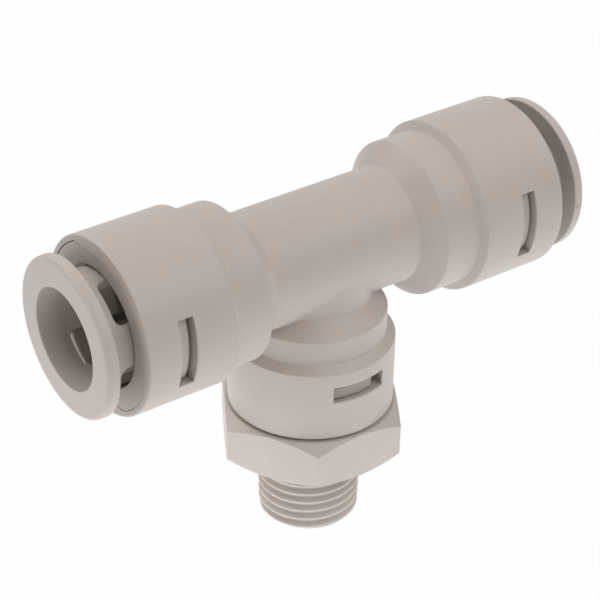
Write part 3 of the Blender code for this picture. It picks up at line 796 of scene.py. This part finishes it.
def thread_surface(heights, angles):
    """Radius of the threaded end at each height z and angle a. The crest's radius grows with z by the
    taper. At an axial distance s from a crest, t = min(s, pitch / 2 - s), the groove is
    d = R - sqrt(R^2 - t^2) deep on the rounded crest, and depth / 2 - (pitch / 4 - t) / tan(flank) on the
    straight flank beside it. Past the middle of the flank it is depth - d. The mould's seam is a low
    ridge, exp(-(w / width)^2), at a distance w round from two opposite corners of the hexagon. Beside the
    hexagon the groove runs out to a share of its depth. The lead-in cone limits the radius at the end."""
    z, a = heights[:, None], angles[None, :]
    crest = THREAD_END + z * THREAD_TAPER
    turns = (z - CREST_HEIGHT) / PITCH - (a - CREST_ANGLE) / (2 * np.pi)
    from_crest = np.abs(turns - np.round(turns)) * PITCH
    near = np.minimum(from_crest, PITCH / 2 - from_crest)
    on_round = THREAD_ROUND - np.sqrt(THREAD_ROUND**2 - np.minimum(near, THREAD_ROUND) ** 2)
    on_flank = THREAD_DEPTH / 2 - (PITCH / 4 - near) / math.tan(FLANK)
    shallow = np.where(near < THREAD_ROUND * math.cos(FLANK), on_round, on_flank)
    groove = np.where(from_crest < PITCH / 4, shallow, THREAD_DEPTH - shallow)
    fade = np.clip((RUNOUT_END - z) / RUNOUT_LENGTH, 0.0, 1.0)
    seam = SEAM_RISE * np.exp(-((crest * np.sin(a - SEAM) / SEAM_WIDTH) ** 2))
    radius = crest + seam - groove * (RUNOUT_DEPTH + (1 - RUNOUT_DEPTH) * fade)
    return np.minimum(radius, THREAD_END - THREAD_CHAMFER + z)


def threaded_stem():
    """The stem: a right-hand taper thread below the hexagon, and above it the shank inside the leg."""
    even = np.arange(FINE_COLUMNS) * 2 * np.pi / FINE_COLUMNS
    beside = np.linspace(-SEAM_REACH, SEAM_REACH, SEAM_STEPS) * SEAM_WIDTH / THREAD_END
    angles = np.sort(np.concatenate([even, SEAM + beside, SEAM + np.pi + beside]))
    heights = np.concatenate([[0.0], np.linspace(FIRST_ROW, THREAD_TOP, THREAD_ROWS)])
    radius = thread_surface(heights, angles)
    z = np.broadcast_to(heights[:, None], radius.shape)
    thread = np.stack([radius * np.cos(angles), radius * np.sin(angles), z], axis=-1)
    foot, end = np.zeros((1, len(angles), 3)), np.zeros((1, len(angles), 3))
    end[..., 2] = heights[-1]
    stem = solid("threaded_stem_surface", np.concatenate([foot, thread, end]))
    shank = lathe("shank", [
        (0, STEM_TOP, 0),
        (JOURNAL, STEM_TOP, 0.35),
        (JOURNAL, GROOVE[1], 0.1),
        (GROOVE_FLOOR, GROOVE[1], 0.15),
        (GROOVE_FLOOR, GROOVE[0], 0.15),
        (JOURNAL, GROOVE[0], 0.1),
        (JOURNAL, RETAINER_TOP + RUNNING_GAP, 0.1),
        (STEM_NECK, RETAINER_TOP + RUNNING_GAP, 0.15),
        (STEM_NECK, RETAINER_BOTTOM - RUNNING_GAP, 0.15),
        (SHOULDER, RETAINER_BOTTOM - RUNNING_GAP, 0.2),
        (SHOULDER, SHANK_FOOT, 0),
        (0, SHANK_FOOT, 0),
    ], closed=False, columns=PLAIN_COLUMNS)
    combine(stem, "UNION", hexagon(), shank)
    bore = lathe("stem_bore", [
        (0, STEM_TOP + PAST, 0),
        (STEM_BORE + STEM_CHAMFER, STEM_TOP + PAST, 0),
        (STEM_BORE + STEM_CHAMFER, STEM_TOP, 0),
        (STEM_BORE, STEM_TOP - STEM_CHAMFER, 0.1),
        (STEM_BORE, STEM_CHAMFER, 0.1),
        (STEM_BORE + STEM_CHAMFER, 0, 0),
        (STEM_BORE + STEM_CHAMFER, -PAST, 0),
        (0, -PAST, 0),
    ], closed=False, columns=PLAIN_COLUMNS)
    return combine(stem, "DIFFERENCE", bore)


def hexagon():
    """Six flats, cut from a turned blank whose two faces
    fall away at the chamfer's angle outside the flats."""
    corner = HEX_FLAT / math.cos(math.pi / 6)
    face, reach = HEX_FACE * HEX_FLAT, corner + PAST
    drop = (reach - face) * math.tan(HEX_CHAMFER)
    blank = lathe("hexagon", [
        (0, HEX_TOP, 0),
        (face, HEX_TOP, 0.12),
        (reach, HEX_TOP - drop, 0),
        (reach, HEX_BOTTOM + drop, 0),
        (face, HEX_BOTTOM, 0.12),
        (0, HEX_BOTTOM, 0),
    ], closed=False)
    ring = STEM_TURN + np.arange(6) * np.pi / 3
    corners = np.column_stack([corner * np.cos(ring), corner * np.sin(ring), np.full_like(ring, HEX_EDGE)])
    flats = outline(corners, closed=True)
    heights = np.array([HEX_BOTTOM - PAST, HEX_BOTTOM - PAST, HEX_TOP + PAST, HEX_TOP + PAST])
    scale = np.array([0, 1, 1, 0])
    sides = np.empty((4, len(flats), 3))
    sides[..., :2] = scale[:, None, None] * flats
    sides[..., 2] = heights[:, None]
    return combine(blank, "INTERSECT", solid("six_flats", sides))


def stem_o_ring():
    """A ring whose section is a circle, midway along the groove and just clear of its floor."""
    share = np.arange(SECTION_STEPS) * 2 * np.pi / SECTION_STEPS
    half = O_RING_SECTION / 2
    radius = GROOVE_FLOOR + O_RING_CLEARANCE + half
    section = np.column_stack([radius + half * np.cos(share), sum(GROOVE) / 2 + half * np.sin(share)])
    return solid("o_ring", turned(section, PLAIN_COLUMNS), close_rows=True)


def stem_retainer():
    """A split ring in the stem's neck, with a tongue in each of the leg's windows."""
    inner = STEM_NECK + RUNNING_GAP
    ring = lathe("retainer", [
        (RETAINER, RETAINER_TOP, 0.2),
        (RETAINER, RETAINER_BOTTOM, 0.2),
        (inner, RETAINER_BOTTOM, 0.15),
        (inner, RETAINER_TOP, 0.15),
    ])
    root = (inner + RETAINER) / 2
    tongues = tongue_band("retainer_tongues", LEG_TONGUE_SPAN, LEG_TONGUE, root, LEG_TONGUE_HALF_WIDTH)
    combine(ring, "UNION", tongues)
    half = RETAINER_SPLIT / 2
    split = block("split", (0, -half, RETAINER_BOTTOM - PAST), (RETAINER + PAST, half, RETAINER_TOP + PAST))
    combine(ring, "DIFFERENCE", split)
    ring.data.transform(Matrix.Rotation(RETAINER_TURN, 4, "Z"))
    return ring


# Shader node groups that several materials share, with the grain's depth in metres

MAP_SOCKETS = ("From Min", "From Max", "To Min", "To Max")
NOISE_SPAN = (0.35, 0.65)
GRAIN_DEPTH = 0.00002


def node_group(name, inputs, outputs):
    """An empty group with its sockets, as (name, kind, value) and (name, kind)."""
    group = bpy.data.node_groups.new(name, "ShaderNodeTree")
    for label, kind, value in inputs:
        socket = group.interface.new_socket(label, in_out="INPUT", socket_type=kind)
        socket.default_value = value
    for label, kind in outputs:
        group.interface.new_socket(label, in_out="OUTPUT", socket_type=kind)
    return group


def add(tree, kind, **values):
    """A node with some of its own settings changed."""
    node = tree.nodes.new(kind)
    for name, value in values.items():
        setattr(node, name, value)
    return node


def noise(tree, place, scale, detail=3.0, roughness=0.5):
    """Noise over the object's own coordinates, in metres."""
    node = add(tree, "ShaderNodeTexNoise")
    node.inputs["Scale"].default_value = scale
    node.inputs["Detail"].default_value = detail
    node.inputs["Roughness"].default_value = roughness
    tree.links.new(place, node.inputs["Vector"])
    return node.outputs["Fac"]


def spread(tree, value, low, high):
    """Maps the span where noise mostly lies to low to high."""
    node = add(tree, "ShaderNodeMapRange")
    for name, number in zip(MAP_SOCKETS, (*NOISE_SPAN, low, high)):
        node.inputs[name].default_value = number
    tree.links.new(value, node.inputs["Value"])
    return node.outputs["Result"]


def mould_finish():
    """A moulding's skin: broad flow marks and fine specks in its tone, a
    spark-eroded grain as height, and a roughness that follows the flow."""
    group = node_group(
        "mould_finish",
        [("Tone", "NodeSocketColor", (0.5, 0.5, 0.5, 1.0)), ("Flow", "NodeSocketFloat", 1.0)],
        [("Color", "NodeSocketColor"), ("Roughness", "NodeSocketFloat"), ("Height", "NodeSocketFloat")],
    )
    tree_in, tree_out = add(group, "NodeGroupInput"), add(group, "NodeGroupOutput")
    place = add(group, "ShaderNodeTexCoord").outputs["Object"]
    flow = noise(group, place, scale=95.0, detail=4.0, roughness=0.55)
    specks = noise(group, place, scale=2600.0, detail=2.0, roughness=0.6)
    grain = noise(group, place, scale=5200.0, detail=3.0, roughness=0.6)
    shade = add(group, "ShaderNodeMath", operation="ADD")
    group.links.new(spread(group, flow, low=-0.022, high=0.022), shade.inputs[0])
    group.links.new(spread(group, specks, low=-0.012, high=0.012), shade.inputs[1])
    strength = add(group, "ShaderNodeMath", operation="MULTIPLY_ADD")
    group.links.new(shade.outputs[0], strength.inputs[0])
    group.links.new(tree_in.outputs["Flow"], strength.inputs[1])
    strength.inputs[2].default_value = 1.0
    tint = add(group, "ShaderNodeVectorMath", operation="SCALE")
    group.links.new(tree_in.outputs["Tone"], tint.inputs[0])
    group.links.new(strength.outputs[0], tint.inputs["Scale"])
    group.links.new(tint.outputs[0], tree_out.inputs["Color"])
    group.links.new(spread(group, flow, low=0.43, high=0.53), tree_out.inputs["Roughness"])
    group.links.new(grain, tree_out.inputs["Height"])
    return group


def resin(name, tone, skin):
    """Moulded resin: the shared skin in this tone, with a shallow grain."""
    material = bpy.data.materials.new(name)
    material.use_nodes = True
    tree = material.node_tree
    shader = tree.nodes["Principled BSDF"]
    finish = add(tree, "ShaderNodeGroup", node_tree=skin)
    finish.inputs["Tone"].default_value = (*tone, 1.0)
    bump = add(tree, "ShaderNodeBump")
    bump.inputs["Strength"].default_value = 0.35
    bump.inputs["Distance"].default_value = GRAIN_DEPTH
    tree.links.new(finish.outputs["Height"], bump.inputs["Height"])
    tree.links.new(bump.outputs["Normal"], shader.inputs["Normal"])
    tree.links.new(finish.outputs["Color"], shader.inputs["Base Color"])
    tree.links.new(finish.outputs["Roughness"], shader.inputs["Roughness"])
    shader.inputs["IOR"].default_value = 1.5
    return material


def stainless():
    """Rolled strip: a streaked roughness along the strip, and a faint change of tone."""
    material = bpy.data.materials.new("rolled_stainless")
    material.use_nodes = True
    tree = material.node_tree
    shader = tree.nodes["Principled BSDF"]
    place = add(tree, "ShaderNodeTexCoord").outputs["Object"]
    stretch = add(tree, "ShaderNodeMapping")
    stretch.inputs["Scale"].default_value = (1.0, 0.08, 0.08)
    tree.links.new(place, stretch.inputs["Vector"])
    streaks = noise(tree, stretch.outputs["Vector"], scale=9000.0, detail=4.0, roughness=0.6)
    tree.links.new(spread(tree, streaks, low=0.2, high=0.34), shader.inputs["Roughness"])
    tones = add(tree, "ShaderNodeMix", data_type="RGBA")
    tones.inputs["A"].default_value = (0.58, 0.57, 0.55, 1.0)
    tones.inputs["B"].default_value = (0.68, 0.67, 0.65, 1.0)
    tree.links.new(streaks, tones.inputs["Factor"])
    tree.links.new(tones.outputs["Result"], shader.inputs["Base Color"])
    shader.inputs["Metallic"].default_value = 1.0
    return material


def rubber():
    """Moulded rubber: near black, with a dull bloom in patches and a fine grain."""
    material = bpy.data.materials.new("moulded_rubber")
    material.use_nodes = True
    tree = material.node_tree
    shader = tree.nodes["Principled BSDF"]
    place = add(tree, "ShaderNodeTexCoord").outputs["Object"]
    bloom = noise(tree, place, scale=700.0, detail=4.0, roughness=0.6)
    tones = add(tree, "ShaderNodeMix", data_type="RGBA")
    tones.inputs["A"].default_value = (0.018, 0.018, 0.019, 1.0)
    tones.inputs["B"].default_value = (0.035, 0.034, 0.033, 1.0)
    tree.links.new(bloom, tones.inputs["Factor"])
    tree.links.new(tones.outputs["Result"], shader.inputs["Base Color"])
    tree.links.new(spread(tree, bloom, low=0.5, high=0.68), shader.inputs["Roughness"])
    bump = add(tree, "ShaderNodeBump")
    bump.inputs["Strength"].default_value = 0.3
    bump.inputs["Distance"].default_value = GRAIN_DEPTH
    tree.links.new(noise(tree, place, scale=6000.0), bump.inputs["Height"])
    tree.links.new(bump.outputs["Normal"], shader.inputs["Normal"])
    return material


# The stage

def seen_direct(tree):
    """1 for what the camera sees itself or in a gloss, and 0 for what only lights a surface."""
    light_path = add(tree, "ShaderNodeLightPath")
    seen = add(tree, "ShaderNodeMath", operation="MAXIMUM")
    tree.links.new(light_path.outputs["Is Camera Ray"], seen.inputs[0])
    tree.links.new(light_path.outputs["Is Glossy Ray"], seen.inputs[1])
    return seen.outputs[0]


def floor():
    """A pale table whose glow lights the fitting from below.
    Seen direct it is white, but for a trace of shadow."""
    mesh = bpy.data.meshes.new("floor")
    half, level = FLOOR_HALF, -FLOOR_GAP * MM
    corners = [(-half, -half, level), (half, -half, level), (half, half, level), (-half, half, level)]
    mesh.from_pydata(corners, [], [(0, 1, 2, 3)])
    piece = bpy.data.objects.new("floor", mesh)
    bpy.context.scene.collection.objects.link(piece)
    material = bpy.data.materials.new("pale_floor")
    material.use_nodes = True
    tree = material.node_tree
    shader = tree.nodes["Principled BSDF"]
    shader.inputs["Base Color"].default_value = (0.9, 0.9, 0.9, 1.0)
    shader.inputs["Roughness"].default_value = 0.8
    place = add(tree, "ShaderNodeTexCoord").outputs["Object"]
    away = add(tree, "ShaderNodeVectorMath", operation="LENGTH")
    tree.links.new(place, away.inputs[0])
    fall = add(tree, "ShaderNodeMapRange", interpolation_type="SMOOTHSTEP")
    for name, number in zip(MAP_SOCKETS, (GLOW_START, GLOW_REACH, FLOOR_GLOW, 0.0)):
        fall.inputs[name].default_value = number
    tree.links.new(away.outputs["Value"], fall.inputs["Value"])
    glow, white = add(tree, "ShaderNodeEmission"), add(tree, "ShaderNodeEmission")
    glow.inputs["Color"].default_value = (*COOL, 1.0)
    tree.links.new(fall.outputs["Result"], glow.inputs["Strength"])
    lit = add(tree, "ShaderNodeAddShader")
    shown, mix = add(tree, "ShaderNodeMixShader"), add(tree, "ShaderNodeMixShader")
    tree.links.new(shader.outputs[0], lit.inputs[0])
    tree.links.new(glow.outputs[0], lit.inputs[1])
    shown.inputs["Fac"].default_value = SHADOW_SHARE
    tree.links.new(white.outputs[0], shown.inputs[1])
    tree.links.new(shader.outputs[0], shown.inputs[2])
    tree.links.new(seen_direct(tree), mix.inputs["Fac"])
    tree.links.new(lit.outputs[0], mix.inputs[1])
    tree.links.new(shown.outputs[0], mix.inputs[2])
    tree.links.new(mix.outputs[0], tree.nodes["Material Output"].inputs["Surface"])
    mesh.materials.append(material)


def world():
    """Surroundings that are seen as white and give no light of their own."""
    surroundings = bpy.data.worlds.new("studio")
    bpy.context.scene.world = surroundings
    surroundings.use_nodes = True
    tree = surroundings.node_tree
    backdrop = tree.nodes["Background"]
    backdrop.inputs["Color"].default_value = (1.0, 1.0, 1.0, 1.0)
    tree.links.new(seen_direct(tree), backdrop.inputs["Strength"])


def lamp(name, azimuth, elevation, power, tint):
    """A square area light that faces the fitting from this
    direction, in degrees, with azimuth 0 towards +X."""
    light = bpy.data.lights.new(name, "AREA")
    light.shape = "SQUARE"
    light.size = LAMP_SIZE * MM
    light.energy = power
    light.color = tint
    piece = bpy.data.objects.new(name, light)
    bpy.context.scene.collection.objects.link(piece)
    around = Matrix.Rotation(math.radians(azimuth), 4, "Z")
    turn = around @ Matrix.Rotation(math.radians(90 - elevation), 4, "Y")
    out = turn @ Vector((0.0, 0.0, LAMP_DISTANCE))
    piece.matrix_world = Matrix.Translation((Vector((0.0, 0.0, AXIS_HEIGHT)) + out) * MM) @ turn


def camera():
    """The photograph's camera: its back direction b from azimuth and elevation, its right and up directions
    turned by the roll, and its place the axes' crossing + right and up offsets + distance * b."""
    back = Vector((
        -math.sin(VIEW_AZIMUTH) * math.cos(VIEW_ELEVATION),
        -math.cos(VIEW_AZIMUTH) * math.cos(VIEW_ELEVATION),
        math.sin(VIEW_ELEVATION),
    ))
    level = Vector((math.cos(VIEW_AZIMUTH), -math.sin(VIEW_AZIMUTH), 0.0))
    upright = back.cross(level)
    right = level * math.cos(VIEW_ROLL) + upright * math.sin(VIEW_ROLL)
    up = upright * math.cos(VIEW_ROLL) - level * math.sin(VIEW_ROLL)
    data = bpy.data.cameras.new("camera")
    data.lens = LENS
    data.sensor_width = SENSOR
    data.clip_start = 0.01
    data.clip_end = 10.0
    piece = bpy.data.objects.new("camera", data)
    bpy.context.scene.collection.objects.link(piece)
    crossing = Vector((0.0, 0.0, AXIS_HEIGHT))
    place = crossing + right * VIEW_RIGHT + up * VIEW_UP + back * VIEW_DISTANCE
    turn = Matrix((right, up, back)).transposed().to_4x4()
    piece.matrix_world = Matrix.Translation(place * MM) @ turn
    bpy.context.scene.camera = piece


SKIN = mould_finish()
BODY_RESIN = resin("body_resin", (0.455, 0.416, 0.377), SKIN)
RING_RESIN = resin("ring_resin", (0.461, 0.422, 0.383), SKIN)
GUIDE_RESIN = resin("guide_resin", (0.442, 0.403, 0.364), SKIN)
STEM_RESIN = resin("stem_resin", (0.48, 0.443, 0.406), SKIN)
RETAINER_RESIN = resin("retainer_resin", (0.3, 0.28, 0.258), SKIN)
STAINLESS = stainless()
RUBBER = rubber()

body = body_skin()
combine(body, "DIFFERENCE", *port_void(-1), *port_void(1), *leg_void())
finished(body, BODY_RESIN, "body", "tee_body")
for label, side in (("left", -1), ("right", 1)):
    finished(release_ring(side), RING_RESIN, label + "_ring", label + "_release_ring")
    finished(guide_ring(side), GUIDE_RESIN, "body", label + "_guide_ring")
    finished(lock_claw(side), STAINLESS, "body", label + "_lock_claw")
    finished(tube_seal(side), RUBBER, "body", label + "_tube_seal")
finished(threaded_stem(), STEM_RESIN, "stem", "threaded_stem")
finished(stem_o_ring(), RUBBER, "stem", "stem_o_ring")
finished(stem_retainer(), RETAINER_RESIN, "body", "stem_retainer")

camera()
floor()
world()
for settings in LAMPS:
    lamp(*settings)
bpy.context.scene.view_settings.view_transform = "Standard"
